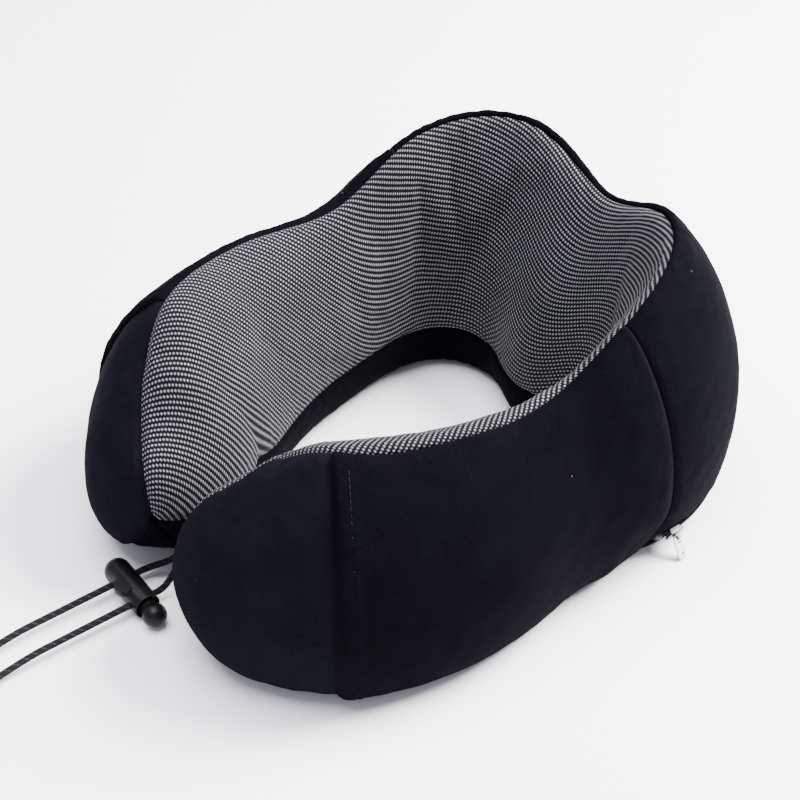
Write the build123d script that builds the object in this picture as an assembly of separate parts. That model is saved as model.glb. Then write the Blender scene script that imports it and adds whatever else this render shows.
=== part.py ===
from build123d import *
from functools import lru_cache
import math
import os

os.makedirs("parts", exist_ok=True)

# U shaped neck pillow: a one-piece foam core in a zipped, sewn cover.
# Millimetres and degrees. The pillow lies on z = 0 with its underside, +Z is up, the neck
# opening faces -Y, and x = 0 is the middle plane. The shapes are drawn about the middle of the
# neck opening, and written about a point of the underside in the middle of the back.
ORIGIN_Y = 100.0        # that point, behind the middle of the opening

# ---------------------------------------------------------------- centre line, seen from above
# Angle 0 is the middle of the back, 90 the widest point, TIP_ANGLE the last full section.
CENTRE_HALF_WIDTH = 85.0
CENTRE_BACK = 106.0
CENTRE_FRONT = 117.0
BACK_SQUARENESS = 2.7
FRONT_SQUARENESS = 2.0
TIP_ANGLE = 148.0
TIP_LENGTH = 42.0       # rounded end beyond the last full section
TIP_HEIGHT = 0.45       # height of the tip's point, as a share of the ridge height
TIP_CLOSED = 80.0       # the sewn panels stop at this turn of the rounded end (90 is its point)

# ---------------------------------------------------------------- cross sections
# Each row is one section square to the centre line. The ridge seam, where the knit panel meets
# the outer panels, lies at "seam offset" outside the centre line, tilted by "seam tilt".
SECTIONS = (
    # angle, half width, outward shift, ridge height, seam offset, seam tilt
    (0.0, 35.0, -5.0, 124.0, 13.0, 34.0),    # valley in the middle of the back
    (30.0, 38.0, 11.0, 143.0, 13.0, 34.0),   # back lobe, the highest point
    (55.0, 30.0, 11.0, 136.0, 7.0, 34.0),    # rear side
    (80.0, 28.0, 0.0, 109.5, 0.0, 34.0),     # waist beside the neck
    (110.0, 39.0, 0.0, 113.5, 2.0, 44.0),    # cheek lobe
    (135.0, 44.0, 0.0, 113.5, 5.5, 34.0),    # front lobe
    (160.0, 35.5, 0.0, 90.0, 6.0, 34.0),     # runs out into the tip
)
ANGLE, HALF_WIDTH, SHIFT, RIDGE, SEAM_OFFSET, SEAM_TILT = range(6)
BELLY_HEIGHT = (54.0, 28.0)      # widest point of the outer wall, at the back and at the tip
SEAM_ROUNDNESS = (7.5, 24.0)     # how far the ridge stays level each side of its seam
INNER_WALL_HEIGHT = (30.0, 42.0)  # lower edge of the knit panel, at the back and at the tip
INNER_WALL_LEAN = 88.0           # slope of the neck face at that edge
NECK_FACE_FULLNESS = 35.0
NECK_WALL_FULLNESS = 0.5         # pulls the curves towards their corners, as shares of height
UPPER_FULLNESS = 0.5
LOWER_FULLNESS = 0.55
RIDGE_SEAM_DROP = 4.0            # the ridge seam lies below the highest point by this at full tilt
FLAT_INSET_NECK = 14.0           # the underside stays this far inside the neck wall
FLAT_INSET_OUTER = 18.0          # and this far inside the outer wall
OUTER_EDGE_FULLNESS = 10.0
NECK_EDGE_FULLNESS = 8.0

# ---------------------------------------------------------------- sewn cover
FABRIC = 1.2            # velour and knit, each with its backing
SEAM_GAP = 0.35         # each panel stops this far short of its seam line
SEAM_ANGLE_GAP = 0.2    # the same for the seams across the section, in degrees
BACK_TOP_PLACE = 0.013  # the back panel stops below the ridge by this share of the upper wall
BASE_END_GAP = 0.4      # the flat underside stops this many degrees short of the tips
BACK_SEAM_ANGLE = 62.0  # seam between back panel and side panels
POCKET_REAR_ANGLE = 62.6
POCKET_HEM_ANGLE = 134.0
POCKET_PROUD = 2.1      # the pocket's outside stands this far off the side panel
POCKET_FABRIC = 1.1
POCKET_LOW_EDGE = 5.5   # height of the pocket's lower edge on the outer wall
POCKET_TOP_PLACE = 0.03  # its upper edge, as a share of the upper outer wall
SHEET_TOLERANCE = 0.05  # how closely a curved face follows its points

# ---------------------------------------------------------------- foam core
CORE_INSET = 4.4
CORE_TOLERANCE = 0.1
CORE_TIP_CLOSED = 78.0
CORE_TOE = 0.06         # share of an edge left for the bevel between arch and floor

# ---------------------------------------------------------------- zip, round the right rear corner
ZIP_X = 41.0            # vertical axis of the zip's circular path
ZIP_Y = 72.0
ZIP_RADIUS = 67.0
ZIP_HEIGHT = 12.0
ZIP_FADE_HEIGHT = 42.0  # above this the wall no longer follows the zip's circle
ZIP_START_ANGLE = 11.0   # on the centre line, the open end of the slot
ZIP_END_ANGLE = 61.0
ZIP_BLEND = (2.0, 74.0)  # outside these angles the wall keeps its own line
ZIP_EDGE_BLEND = (5.0, 1.0)  # the slot opens between these angles before its start
CHAIN_ANGLES = (12.6, 59.3)
OPEN_STOP_ANGLES = (11.2, 12.4)
CLOSED_STOP_ANGLES = (59.5, 60.7)
STOP_PROUD = 0.6
ZIP_SLOPE = 68.0        # slope of the wall at the zip, from level
ZIP_OPENING = 9.0       # height of the slot between the fabric edges
TAPE_HEIGHT = 7.6
TAPE_THICKNESS = 0.5
TAPE_DEPTH = 1.9
BEAD_HEIGHT = 1.7       # each row of the coil
BEAD_THICKNESS = 1.7
CHAIN_GAP = 0.15        # half the space between the two rows

# ---------------------------------------------------------------- slider and pull
SLIDER_REST = 1.5       # angle of the slider about the zip's axis, zip closed
SLIDER_LENGTH = 9.0
SLIDER_HALF_HEIGHT = 3.1
SLIDER_WALL = 0.6
SLIDER_WALL_DEPTH = 1.6
SLIDER_NOSE = 1.6       # the plate reaches this far beyond the side walls at each end
SLIDER_CORNER_R = 1.5
SLIDER_PLATE = 1.1
SLIDER_LIFT = 0.75      # plate above the coil
LUG_HEIGHT = 2.9
LUG_LENGTH = 3.0
LUG_WIDTH = 1.6
LUG_PIN_DEPTH = 1.1     # from the lug's top to the pin
PULL_PIN_R = 0.5
PULL_PIN_CLEARANCE = 0.05
PULL_WIDTH = 4.6
PULL_THICKNESS = 0.9
PULL_LEAN = 27.0        # the pull's end rests on the ground, leaning away from the wall
PULL_EAR = 1.5          # from the pin to the top of the pull
EAR_CLEARANCE = 0.12
PULL_CORNER_R = 1.2
PULL_HOLE_R = 1.0
PULL_HOLE_PLACE = 0.72  # share of the way from the pin to the pull's end
OVERLAP = 0.2           # joined shapes run this far into each other

# ---------------------------------------------------------------- cord lock and cord
LOCK_Y = -142.5
LOCK_Z = 6.3
BARREL_R = 6.2
BARREL_LEFT = -32.4     # point of the domed end
BARREL_RIGHT = 0.6
BARREL_BORE_R = 4.20
BORE_LEFT = -28.4
MOUTH_R = 5.8
MOUTH_DEPTH = 2.9
CORD_R = 1.5
CORD_LEFT_X = -20.4
CORD_RIGHT_X = -5.0
CORD_HOLE_R = 1.75
PLUNGER_R = 4.15
PLUNGER_LEFT = -23.4
PLUNGER_TRAVEL = 2.5
BUTTON_R = 5.6
BUTTON_X = 6.4
SLOT_CLEARANCE = 0.1
SPRING_R = 3.1
SPRING_WIRE_R = 0.3
SPRING_TURNS = 3.5
LOBE_R = 5.0
LOBE_REACH = 8.6
LOBE_THICKNESS = 3.2
LOBE_LOWERING = 5.9     # from the barrel's axis to the lobe's underside
MOUTH_ROUNDING = 0.6
SPRING_END_ROOM = 0.15
CORD_STRAIGHT = 48.0    # straight cord beyond the lock
CORD_GROUND_GAP = 0.05
CORD_SEAM_GAP = 0.3
CORD_LOOP_Y = -232.0    # end of the straight sides of the loop
CORD_LEFT_TURN = 52.0   # where the cord leaves each tip: turn of the rounded end, place round it
CORD_LEFT_W = 2.75
CORD_LEFT_AIM = (0.2, -1.0, -0.2)
CORD_RIGHT_TURN = 66.0
CORD_RIGHT_W = 3.1
CORD_RIGHT_AIM = (0.6, 0.8, 0.2)


def mix(ends, share):
    return ends[0] + (ends[1] - ends[0]) * share


def fade(value, start, end):
    """0 before start, 1 after end, smooth between them."""
    t = min(max((value - start) / (end - start), 0.0), 1.0)
    return t * t * (3.0 - 2.0 * t)


def section_value(column, angle):
    """Smooth curve through one column of SECTIONS, level at the middle of the back."""
    last = len(SECTIONS) - 1

    def slope(i):
        if i == 0:
            return 0.0
        low, high = SECTIONS[i - 1], SECTIONS[min(i + 1, last)]
        return (high[column] - low[column]) / (high[ANGLE] - low[ANGLE])

    i = max(k for k in range(last) if SECTIONS[k][ANGLE] <= angle)
    start, end = SECTIONS[i], SECTIONS[i + 1]
    width = end[ANGLE] - start[ANGLE]
    t = (angle - start[ANGLE]) / width
    rise = (2 * t**3 - 3 * t**2 + 1) * start[column] + (3 * t**2 - 2 * t**3) * end[column]
    bend = (t**3 - 2 * t**2 + t) * slope(i) + (t**3 - t**2) * slope(i + 1)
    return rise + width * bend


def centre_point(angle):
    s = math.sin(math.radians(angle))
    c = math.cos(math.radians(angle))
    power = BACK_SQUARENESS if c > 0 else FRONT_SQUARENESS
    reach = CENTRE_BACK if c > 0 else CENTRE_FRONT
    size = (abs(s) ** power + abs(c) ** power) ** (-1.0 / power)
    return CENTRE_HALF_WIDTH * s * size, reach * c * size


@lru_cache(maxsize=None)
def station(s):
    """Place on the right half's centre line: x, y, its direction, and the section's shrink.

    s is the centre line's angle up to TIP_ANGLE, then goes on by the turn of the rounded end.
    """
    angle = min(s, TIP_ANGLE)
    x, y = centre_point(angle)
    x0, y0 = centre_point(angle - 0.01)
    x1, y1 = centre_point(angle + 0.01)
    length = math.hypot(x1 - x0, y1 - y0)
    tx, ty = (x1 - x0) / length, (y1 - y0) / length
    turn = math.radians(s - angle)
    reach = TIP_LENGTH * math.sin(turn)
    return x + tx * reach, y + ty * reach, tx, ty, math.cos(turn)


@lru_cache(maxsize=None)
def outline(angle):
    """The five edges of a section as cubic curves in (outward, up), and its ridge height.

    In order: upper outer wall, lower outer wall, underside, neck wall below the knit, knit face.
    """
    half = section_value(HALF_WIDTH, angle)
    shift = section_value(SHIFT, angle)
    ridge = section_value(RIDGE, angle)
    tilt = math.radians(section_value(SEAM_TILT, angle))
    share = angle / SECTIONS[-1][ANGLE]
    belly = mix(BELLY_HEIGHT, share)
    level = mix(SEAM_ROUNDNESS, share)
    low = mix(INNER_WALL_HEIGHT, fade(angle, SECTIONS[4][ANGLE], SECTIONS[6][ANGLE]))
    lean = math.radians(INNER_WALL_LEAN)
    outer = half + shift
    inner = half - shift

    def off(point, du, dz):
        return point[0] + du, point[1] + dz

    seam = (section_value(SEAM_OFFSET, angle), ridge - RIDGE_SEAM_DROP * math.sin(tilt))
    widest = (outer, belly)
    toe = (outer - FLAT_INSET_OUTER, 0.0)
    heel = (-inner + FLAT_INSET_NECK, 0.0)
    knit = (-inner, low)
    du, dz = -math.cos(tilt) * level, math.sin(tilt) * level
    ku, kz = -math.cos(lean), -math.sin(lean)
    third = (toe[0] - heel[0]) / 3.0
    below = NECK_WALL_FULLNESS * low
    edges = (
        (seam, off(seam, -du, -dz), off(widest, 0, UPPER_FULLNESS * (ridge - belly)), widest),
        (widest, off(widest, 0, -LOWER_FULLNESS * belly), off(toe, OUTER_EDGE_FULLNESS, 0), toe),
        (toe, off(toe, -third, 0), off(heel, third, 0), heel),
        (heel, off(heel, -NECK_EDGE_FULLNESS, 0), off(knit, ku * below, kz * below), knit),
        (knit, off(knit, -ku * NECK_FACE_FULLNESS, -kz * NECK_FACE_FULLNESS),
         off(seam, du, dz), seam),
    )
    return edges, ridge


def on_edge(edge, t):
    weights = ((1 - t) ** 3, 3 * (1 - t) ** 2 * t, 3 * (1 - t) * t**2, t**3)
    return (
        sum(k * point[0] for k, point in zip(weights, edge)),
        sum(k * point[1] for k, point in zip(weights, edge)),
    )


@lru_cache(maxsize=None)
def share_at_height(angle, height):
    """Where the lower outer wall passes a height, as a share of that edge."""
    edge = outline(angle)[0][1]
    low, high = 0.0, 1.0
    for _ in range(30):
        middle = 0.5 * (low + high)
        if on_edge(edge, middle)[1] > height:
            low = middle
        else:
            high = middle
    return 0.5 * (low + high)


@lru_cache(maxsize=None)
def zip_shift(s):
    """How far the low outer wall moves so that the zip lies on its circle."""
    window = fade(s, ZIP_BLEND[0], ZIP_START_ANGLE) * (1.0 - fade(s, ZIP_END_ANGLE, ZIP_BLEND[1]))
    if window == 0.0:
        return 0.0
    x, y, tx, ty, _ = station(s)
    dx, dy = x - ZIP_X, y - ZIP_Y
    along = dx * -ty + dy * tx
    circle = -along + math.sqrt(along**2 - dx**2 - dy**2 + ZIP_RADIUS**2)
    wall = on_edge(outline(s)[0][1], share_at_height(s, ZIP_HEIGHT))[0]
    return window * (circle - wall)


def skin(s, w):
    """A point of the pillow's outside. s runs from the left tip to the right tip, 0 is the
    middle of the back; w runs once round the section, one unit to each edge of the outline."""
    side = -1.0 if s < 0 else 1.0
    s = abs(s)
    x, y, tx, ty, shrink = station(s)
    edges, ridge = outline(min(s, TIP_ANGLE))
    number = int(w % 5.0)
    share = w % 5.0 - number
    u, z = on_edge(edges[number], share)
    if number == 1:
        u += zip_shift(s) * fade(-z, -ZIP_FADE_HEIGHT, -ZIP_HEIGHT)
    if number == 2:
        u += zip_shift(s) * (1.0 - share)
    middle = TIP_HEIGHT * ridge
    u *= shrink
    z = middle + (z - middle) * shrink
    return Vector(side * (x - ty * u), y + tx * u, z)


def inside(s, w, depth):
    """The point that lies straight below the skin by depth."""
    ds = skin(s + 0.05, w) - skin(s - 0.05, w)
    dw = skin(s, w + 0.002) - skin(s, w - 0.002)
    return skin(s, w) - ds.cross(dw).normalized() * depth


def inset_edge(s, w, distance):
    """Move from w along the section by a distance, for the gap at a seam."""
    step = 0.02 if distance > 0 else -0.02
    speed = (skin(s, w + step) - skin(s, w)).length / abs(step)
    return w + distance / speed


def spread(low, high, count):
    return [low + (high - low) * i / (count - 1) for i in range(count)]


def stations(start, end, step=3.5, tip_step=6.0):
    """Values of s from start to end, evenly spaced along each arm and in each rounded tip."""
    knots = [v for v in (-TIP_ANGLE, TIP_ANGLE) if start < v < end]
    values = [start]
    for low, high in zip([start] + knots, knots + [end]):
        width = tip_step if abs(low + high) > 2 * TIP_ANGLE else step
        count = max(2, round((high - low) / width) + 1)
        values += spread(low, high, count)[1:]
    return values


def grid_solid(top_rows, bottom_rows, tolerance):
    """Solid between two curved surfaces, each given as rows of points, closed at the sides."""
    def middle(edge):
        return edge.position_at(0.5)

    top = Face.make_surface_from_array_of_points(top_rows, tol=tolerance)
    bottom = Face.make_surface_from_array_of_points(bottom_rows, tol=tolerance)
    faces = [top, bottom]
    for edge in top.edges():
        other = min(bottom.edges(), key=lambda e: (middle(e) - middle(edge)).length)
        faces.append(Face.make_surface_from_curves(edge, other))
    return Solid(Shell(faces))


def even_places(s, first, final, count):
    """Values of w between first and final that are evenly spaced along the section."""
    fine = spread(first, final, 4 * count)
    points = [skin(s, w) for w in fine]
    lengths = [0.0]
    for a, b in zip(points, points[1:]):
        lengths.append(lengths[-1] + (b - a).length)
    places = []
    k = 0
    for target in spread(0.0, lengths[-1], count):
        while k < len(fine) - 2 and lengths[k + 1] < target:
            k += 1
        t = (target - lengths[k]) / (lengths[k + 1] - lengths[k])
        places.append(fine[k] + (fine[k + 1] - fine[k]) * t)
    return places


def sheet(stops, low, high, depth, thickness, columns):
    """A curved fabric sheet as one solid. low(s) and high(s) are its edges as values of w."""
    def side(below):
        rows = []
        for s in stops:
            first = inset_edge(s, low(s), SEAM_GAP)
            final = inset_edge(s, high(s), -SEAM_GAP)
            places = even_places(s, first, final, columns)
            rows.append([inside(s, w, below) for w in places])
        return rows

    return grid_solid(side(depth), side(depth + thickness), SHEET_TOLERANCE)


def wall_height(height):
    """Edge of a sheet that follows the lower outer wall at a fixed height."""
    return lambda s: 1.0 + share_at_height(abs(s), height)


def fixed(place):
    """Edge of a sheet that stays at one place of the section."""
    return lambda s: place


# ---------------------------------------------------------------- foam core
def core_point(s, w, inset):
    """A point of the core, drawn in from the skin about the section's own centre."""
    side = -1.0 if s < 0 else 1.0
    s = abs(s)
    angle = min(s, TIP_ANGLE)
    turn = math.radians(s - angle)
    x, y, tx, ty, _ = station(angle)
    reach = (TIP_LENGTH - inset) * math.sin(turn)
    edges, ridge = outline(angle)
    shift = section_value(SHIFT, angle)
    middle = TIP_HEIGHT * ridge
    u, z = on_edge(edges[int(w % 5.0)], w % 1.0)
    tuck = min(zip_shift(s), 0.0)
    if int(w % 5.0) == 1:
        u += tuck * fade(-z, -ZIP_FADE_HEIGHT, -ZIP_HEIGHT)
    if int(w % 5.0) == 2:
        u += tuck * (1.0 - w % 1.0)
    narrow = 1.0 - inset / section_value(HALF_WIDTH, angle)
    lower = 1.0 - inset / middle
    u = (shift + (u - shift) * narrow) * math.cos(turn)
    z = middle + (z - middle) * lower * math.cos(turn)
    return Vector(side * (x + tx * reach - ty * u), y + ty * reach + tx * u, z)


def core_solid(inset):
    """Closed cushion: an arch from the outer toe over the ridge to the neck's heel, and a floor."""
    stops = stations(-TIP_ANGLE - CORE_TIP_CLOSED, TIP_ANGLE + CORE_TIP_CLOSED, 5.0, 10.0)
    arch = spread(2.0 - CORE_TOE, CORE_TOE - 2.0, 27)
    floor = spread(2.0 + CORE_TOE, 3.0 - CORE_TOE, 7)
    return grid_solid(
        [[core_point(s, w, inset) for w in arch] for s in stops],
        [[core_point(s, w, inset) for w in floor] for s in stops],
        CORE_TOLERANCE,
    )


foam_core = core_solid(CORE_INSET)

# ---------------------------------------------------------------- cover panels
END = TIP_ANGLE + TIP_CLOSED
zip_low = ZIP_HEIGHT - ZIP_OPENING / 2
zip_high = ZIP_HEIGHT + ZIP_OPENING / 2


def back_low_edge(s):
    """The back panel ends at the zip's slot on the right, and closes on the strip elsewhere."""
    opening = fade(s, ZIP_START_ANGLE - ZIP_EDGE_BLEND[0], ZIP_START_ANGLE - ZIP_EDGE_BLEND[1])
    return wall_height(mix((ZIP_HEIGHT, zip_high), opening))(s)


def strip_high_edge(s):
    opening = fade(s, ZIP_START_ANGLE - ZIP_EDGE_BLEND[0], ZIP_START_ANGLE - ZIP_EDGE_BLEND[1])
    return wall_height(mix((ZIP_HEIGHT, zip_low), opening))(s)


full = stations(-END, END)
back = stations(-BACK_SEAM_ANGLE + SEAM_ANGLE_GAP, BACK_SEAM_ANGLE - SEAM_ANGLE_GAP)
side = stations(BACK_SEAM_ANGLE + SEAM_ANGLE_GAP, END)
pocket = stations(POCKET_REAR_ANGLE, POCKET_HEM_ANGLE)
tip = stations(TIP_ANGLE, END)

neck_panel = sheet(full, fixed(4.0), fixed(5.0), 0.0, FABRIC, 13)
inner_wall_panel = sheet(full, fixed(3.0), fixed(4.0), 0.0, FABRIC, 7)
back_panel = sheet(back, fixed(BACK_TOP_PLACE), back_low_edge, 0.0, FABRIC, 13)
back_lower_strip = sheet(back, strip_high_edge, fixed(2.0), 0.0, FABRIC, 5)
side_panel_right = sheet(side, fixed(0.0), fixed(2.0), 0.0, FABRIC, 17)
side_panel_left = mirror(side_panel_right, about=Plane.YZ)
pocket_right = sheet(
    pocket, fixed(POCKET_TOP_PLACE), wall_height(POCKET_LOW_EDGE), -POCKET_PROUD, POCKET_FABRIC, 17
)
pocket_left = mirror(pocket_right, about=Plane.YZ)
tip_underside_right = sheet(tip, fixed(2.0), fixed(3.0), 0.0, FABRIC, 7)
tip_underside_left = mirror(tip_underside_right, about=Plane.YZ)


def underside():
    """Flat panel on the ground, between the outer edge and the neck edge of the underside."""
    reach = TIP_ANGLE - BASE_END_GAP
    stops = stations(-reach, reach, 3.0)
    outer = [skin(s, inset_edge(s, 2.0, SEAM_GAP)) for s in stops]
    inner = [skin(s, inset_edge(s, 3.0, -SEAM_GAP)) for s in stops]
    outer = [Vector(p.X, p.Y, 0) for p in outer]
    inner = [Vector(p.X, p.Y, 0) for p in inner]
    with BuildPart() as part:
        with BuildSketch():
            with BuildLine():
                Spline(*outer)
                Line(outer[-1], inner[-1])
                Spline(*reversed(inner))
                Line(inner[0], outer[0])
            make_face()
        extrude(amount=FABRIC)
    return part.part


base_panel = underside()

# ---------------------------------------------------------------- zip
tape_run = stations(ZIP_START_ANGLE, ZIP_END_ANGLE, 2.5)
chain_run = stations(*CHAIN_ANGLES, 2.5)
chain_low = ZIP_HEIGHT - CHAIN_GAP
chain_high = ZIP_HEIGHT + CHAIN_GAP


def zip_band(run, low, high, depth, thickness):
    """Band on the wall between two heights, following the zip."""
    return sheet(run, wall_height(high), wall_height(low), depth, thickness, 4)


def zip_stop(angles):
    reach = CHAIN_GAP + BEAD_HEIGHT
    run = spread(*angles, 4)
    thickness = STOP_PROUD + BEAD_THICKNESS
    return zip_band(run, ZIP_HEIGHT - reach, ZIP_HEIGHT + reach, -STOP_PROUD, thickness)


zipper_tape_lower = zip_band(
    tape_run, chain_low - TAPE_HEIGHT, chain_low, TAPE_DEPTH, TAPE_THICKNESS
)
zipper_tape_upper = zip_band(
    tape_run, chain_high, chain_high + TAPE_HEIGHT, TAPE_DEPTH, TAPE_THICKNESS
)
zipper_coil_lower = zip_band(chain_run, chain_low - BEAD_HEIGHT, chain_low, 0.0, BEAD_THICKNESS)
zipper_coil_upper = zip_band(chain_run, chain_high, chain_high + BEAD_HEIGHT, 0.0, BEAD_THICKNESS)
zipper_stop_closed = zip_stop(CLOSED_STOP_ANGLES)
zipper_stop_open = zip_stop(OPEN_STOP_ANGLES)


def on_zip(angle):
    """Frame on the zip's circle: x outward from the fabric, y up the wall, z along the zip."""
    slope = math.radians(ZIP_SLOPE)
    turn = math.radians(angle)
    radial = Vector(math.cos(turn), math.sin(turn), 0)
    outward = radial * math.sin(slope) - Vector(0, 0, math.cos(slope))
    upward = radial * math.cos(slope) + Vector(0, 0, math.sin(slope))
    centre = Vector(ZIP_X, ZIP_Y, ZIP_HEIGHT) + radial * ZIP_RADIUS
    return Plane(origin=centre, x_dir=outward, z_dir=outward.cross(upward))


PIN_OUT = SLIDER_LIFT + SLIDER_PLATE + LUG_HEIGHT - LUG_PIN_DEPTH


def slider_solid():
    """A channel over the chain with a lug for the pull."""
    with BuildPart() as part:
        with Locations((SLIDER_LIFT + SLIDER_PLATE / 2, 0, 0)):
            Box(SLIDER_PLATE, 2 * SLIDER_HALF_HEIGHT, SLIDER_LENGTH)
        fillet(part.edges().filter_by(Axis.X), SLIDER_CORNER_R)
        for way in (-1, 1):
            across = way * (SLIDER_HALF_HEIGHT - SLIDER_WALL / 2)
            with Locations((SLIDER_LIFT + OVERLAP - SLIDER_WALL_DEPTH / 2, across, 0)):
                Box(SLIDER_WALL_DEPTH, SLIDER_WALL, SLIDER_LENGTH - 2 * SLIDER_NOSE)
        with Locations((SLIDER_LIFT + SLIDER_PLATE + (LUG_HEIGHT - OVERLAP) / 2, 0, 0)):
            Box(LUG_HEIGHT + OVERLAP, LUG_LENGTH, LUG_WIDTH)
        with Locations((PIN_OUT, 0, 0)):
            Cylinder(PULL_PIN_R + PULL_PIN_CLEARANCE, LUG_WIDTH * 2, mode=Mode.SUBTRACT)
    return on_zip(SLIDER_REST) * part.part


def pull_pin():
    """Centre of the pull's pin, which lies along the zip."""
    frame = on_zip(SLIDER_REST)
    return frame.origin + frame.x_dir * PIN_OUT


def pull_solid():
    """Tab with two ears and a pin through the slider's lug, its end on the ground."""
    frame = on_zip(SLIDER_REST)
    pin = pull_pin()
    lean = math.radians(PULL_LEAN)
    turn = math.radians(SLIDER_REST)
    radial = Vector(math.cos(turn), math.sin(turn), 0)
    down = radial * math.sin(lean) - Vector(0, 0, math.cos(lean))
    reach = (pin.Z - PULL_THICKNESS) / math.cos(lean)
    length = reach + PULL_EAR
    with BuildPart() as part:
        with Locations((reach / 2 - PULL_EAR / 2, 0, 0)):
            Box(length, PULL_THICKNESS, PULL_WIDTH)
        fillet(part.edges().filter_by(Axis.Y), PULL_CORNER_R)
        Box(2 * LUG_HEIGHT, PULL_WIDTH, LUG_WIDTH + 2 * EAR_CLEARANCE, mode=Mode.SUBTRACT)
        Cylinder(PULL_PIN_R, PULL_WIDTH)
        with Locations((reach * PULL_HOLE_PLACE, 0, 0)):
            Cylinder(PULL_HOLE_R, PULL_WIDTH, rotation=(90, 0, 0), mode=Mode.SUBTRACT)
    return Plane(origin=pin, x_dir=down, z_dir=frame.z_dir) * part.part


zipper_slider = slider_solid()
zipper_pull = pull_solid()

# ---------------------------------------------------------------- cord lock
cord_xs = (CORD_LEFT_X, CORD_RIGHT_X)
along_x = Plane(origin=(0, LOCK_Y, LOCK_Z), x_dir=(0, 1, 0), z_dir=(1, 0, 0))


def rod(radius, start, end):
    """Cylinder about the lock's axis between two x positions, in the lock's own frame."""
    return Pos(0, 0, (start + end) / 2) * Cylinder(radius, end - start)


def lock_body():
    """Barrel with a domed end, a blind bore, two cross holes for the cord and a side lobe."""
    dome = BARREL_LEFT + BARREL_R
    body = rod(BARREL_R, dome, BARREL_RIGHT) + Pos(0, 0, dome) * Sphere(BARREL_R)
    lobe_x = (CORD_LEFT_X + CORD_RIGHT_X) / 2
    lobe_height = LOBE_THICKNESS / 2 - LOBE_LOWERING
    lobe_y = LOBE_R - LOBE_REACH
    lobe = Pos(lobe_y, -lobe_height, lobe_x) * Rot(90, 0, 0) * Cylinder(LOBE_R, LOBE_THICKNESS)
    body = body + lobe
    body = fillet(body.edges().filter_by(GeomType.CIRCLE).sort_by(Axis.Z)[-1], MOUTH_ROUNDING)
    body = body - rod(BARREL_BORE_R, BORE_LEFT, BARREL_RIGHT + 1)
    body = body - rod(MOUTH_R, BARREL_RIGHT - MOUTH_DEPTH, BARREL_RIGHT + 1)
    for x in cord_xs:
        body = body - Pos(0, 0, x) * Rot(0, 90, 0) * Cylinder(CORD_HOLE_R, 4 * BARREL_R)
    return along_x * body


def lock_plunger():
    """Round stem with two cord slots, and the ball that is pressed."""
    stem = rod(PLUNGER_R, PLUNGER_LEFT, BUTTON_X)
    ball = Pos(0, 0, BUTTON_X) * Sphere(BUTTON_R)
    body = stem + ball
    room = CORD_R + SLOT_CLEARANCE
    for x in cord_xs:
        length = 2 * room + PLUNGER_TRAVEL
        slot = Box(4 * BARREL_R, 2 * room, length)
        body = body - Pos(0, 0, x - room + length / 2) * slot
    return along_x * body


def lock_spring():
    """Compression spring between the blind end of the bore and the plunger."""
    room = PLUNGER_LEFT - BORE_LEFT - 2 * (SPRING_WIRE_R + SPRING_END_ROOM)
    coil = Helix(pitch=room / SPRING_TURNS, height=room, radius=SPRING_R)
    wire = sweep(Plane(coil @ 0, z_dir=coil % 0) * Circle(SPRING_WIRE_R), path=coil)
    return along_x * Pos(0, 0, BORE_LEFT + SPRING_WIRE_R + SPRING_END_ROOM) * wire


cord_lock_body = lock_body()
cord_lock_plunger = lock_plunger()
cord_lock_spring = lock_spring()


# ---------------------------------------------------------------- cord
def cord_start(s, w):
    """Where the cord leaves the seam under a tip, just clear of the fabric."""
    return inside(s, w, -CORD_R - CORD_SEAM_GAP)


def cord_solid():
    """One round cord from the left tip, through the lock, round its loop and back."""
    ground = CORD_R + CORD_GROUND_GAP
    near = LOCK_Y + BARREL_R + 2.0
    far = LOCK_Y - CORD_STRAIGHT
    left, right = CORD_LEFT_X, CORD_RIGHT_X
    start = cord_start(-TIP_ANGLE - CORD_LEFT_TURN, CORD_LEFT_W)
    end = cord_start(TIP_ANGLE + CORD_RIGHT_TURN, CORD_RIGHT_W)
    outward = (0, -1, 0)
    back = (0, 1, 0)
    with BuildLine() as path:
        Spline(start, (left, near, LOCK_Z), tangents=[CORD_LEFT_AIM, outward])
        Line((left, near, LOCK_Z), (left, far, LOCK_Z))
        Spline((left, far, LOCK_Z), (left, CORD_LOOP_Y, ground), tangents=[outward, outward])
        ThreePointArc(
            (left, CORD_LOOP_Y, ground),
            ((left + right) / 2, CORD_LOOP_Y - (right - left) / 2, ground),
            (right, CORD_LOOP_Y, ground),
        )
        Spline((right, CORD_LOOP_Y, ground), (right, far, LOCK_Z), tangents=[back, back])
        Line((right, far, LOCK_Z), (right, near, LOCK_Z))
        Spline((right, near, LOCK_Z), end, tangents=[back, CORD_RIGHT_AIM])
    wire = path.wires()[0]
    section = Plane(wire @ 0, z_dir=wire % 0) * Circle(CORD_R)
    return sweep(section, path=wire)


drawcord = cord_solid()

# ---------------------------------------------------------------- write
parts = {
    "foam_core": foam_core,
    "neck_panel": neck_panel,
    "inner_wall_panel": inner_wall_panel,
    "back_panel": back_panel,
    "back_lower_strip": back_lower_strip,
    "side_panel_left": side_panel_left,
    "side_panel_right": side_panel_right,
    "pocket_left": pocket_left,
    "pocket_right": pocket_right,
    "base_panel": base_panel,
    "tip_underside_left": tip_underside_left,
    "tip_underside_right": tip_underside_right,
    "zipper_tape_lower": zipper_tape_lower,
    "zipper_tape_upper": zipper_tape_upper,
    "zipper_coil_lower": zipper_coil_lower,
    "zipper_coil_upper": zipper_coil_upper,
    "zipper_stop_closed": zipper_stop_closed,
    "zipper_stop_open": zipper_stop_open,
    "zipper_slider": zipper_slider,
    "zipper_pull": zipper_pull,
    "cord_lock_body": cord_lock_body,
    "cord_lock_plunger": cord_lock_plunger,
    "cord_lock_spring": cord_lock_spring,
    "drawcord": drawcord,
}
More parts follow.
